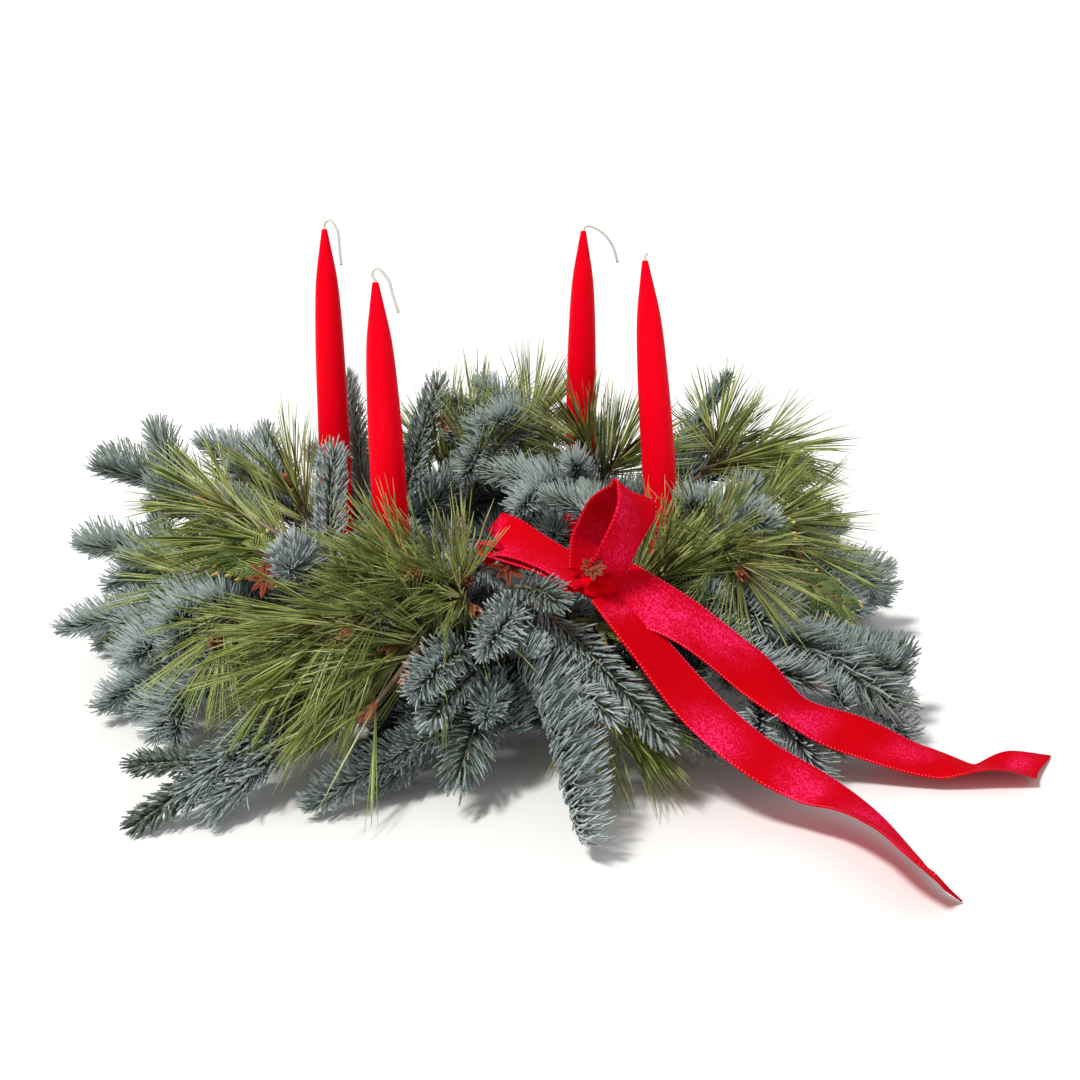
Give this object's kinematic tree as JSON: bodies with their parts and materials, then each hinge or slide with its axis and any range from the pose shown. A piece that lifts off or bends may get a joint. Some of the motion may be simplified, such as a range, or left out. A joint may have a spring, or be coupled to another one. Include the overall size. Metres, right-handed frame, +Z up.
{
  "type": "fresh evergreen wreath",
  "caption": "Table wreath of fresh fir, pine and cedar sprigs wired on a ring, with upright red taper candles, star-shaped pods and a red velvet bow with trailing tails.",
  "frame": {"origin": "on the table, under the middle of the whole wreath's box", "axes": "+Z up out of the table, the shortest extent; -Y towards the front, where the bow is; +X to the right seen from the front"},
  "size_m": [0.6208, 0.6418, 0.2863],
  "materials": {
    "fir_needles": "fresh blue-grey fir needles, satin",
    "pine_needles": "fresh olive-green pine needles, satin",
    "cedar_fronds": "flat scaly green fronds, satin",
    "pod_husk": "dry red-brown husk, matte",
    "ribbon_velvet": "bright red velvet with stitched edges, soft sheen",
    "candle_wax": "smooth dipped red wax, satin",
    "wick_cotton": "waxed white cotton",
    "cup_tin": "thin tinned steel, satin",
    "ring_wire": "galvanised steel wire",
    "binding_wire": "green enamelled wire, satin",
    "tie_wire": "thin steel wire"
  },
  "bodies": {
    "root": {"binding_wire": "binding_wire", "bow_tie_wire": "tie_wire", "candle_back_left": "candle_wax", "candle_back_right": "candle_wax", "candle_cup_back_left": "cup_tin", "candle_cup_back_right": "cup_tin", "candle_cup_front_left": "cup_tin", "candle_cup_front_right": "cup_tin", "candle_front_left": "candle_wax", "candle_front_right": "candle_wax", "cedar_left": "cedar_fronds", "cedar_right": "cedar_fronds", "fir_back_inner": "fir_needles", "fir_back_left": "fir_needles", "fir_back_right": "fir_needles", "fir_back_upright": "fir_needles", "fir_bow_inner": "fir_needles", "fir_centre_inner": "fir_needles", "fir_front_centre": "fir_needles", "fir_front_curled": "fir_needles", "fir_front_inner": "fir_needles", "fir_front_long": "fir_needles", "fir_front_round": "fir_needles", "fir_left_ground": "fir_needles", "fir_left_high": "fir_needles", "fir_left_inner": "fir_needles", "fir_left_low": "fir_needles", "fir_left_point": "fir_needles", "fir_rear": "fir_needles", "fir_rear_left": "fir_needles", "fir_rear_right": "fir_needles", "fir_right_inner": "fir_needles", "fir_right_low": "fir_needles", "fir_right_point": "fir_needles", "fir_right_under": "fir_needles", "pine_back_candle": "pine_needles", "pine_back_centre": "pine_needles", "pine_back_left": "pine_needles", "pine_back_right": "pine_needles", "pine_front_candle": "pine_needles", "pine_front_droop": "pine_needles", "pine_front_left": "pine_needles", "pine_front_under": "pine_needles", "pine_left_high": "pine_needles", "pine_left_middle": "pine_needles", "pine_rear": "pine_needles", "pine_right": "pine_needles", "pine_right_inner": "pine_needles", "ribbon_bow": "ribbon_velvet", "ribbon_tail_front": "ribbon_velvet", "ribbon_tail_right": "ribbon_velvet", "star_pod_back": "pod_husk", "star_pod_bow": "pod_husk", "star_pod_front": "pod_husk", "star_pod_left": "pod_husk", "wick_back_left": "wick_cotton", "wick_back_right": "wick_cotton", "wick_front_left": "wick_cotton", "wick_front_right": "wick_cotton", "wire_ring_frame": "ring_wire"}
  },
  "joints": []
}
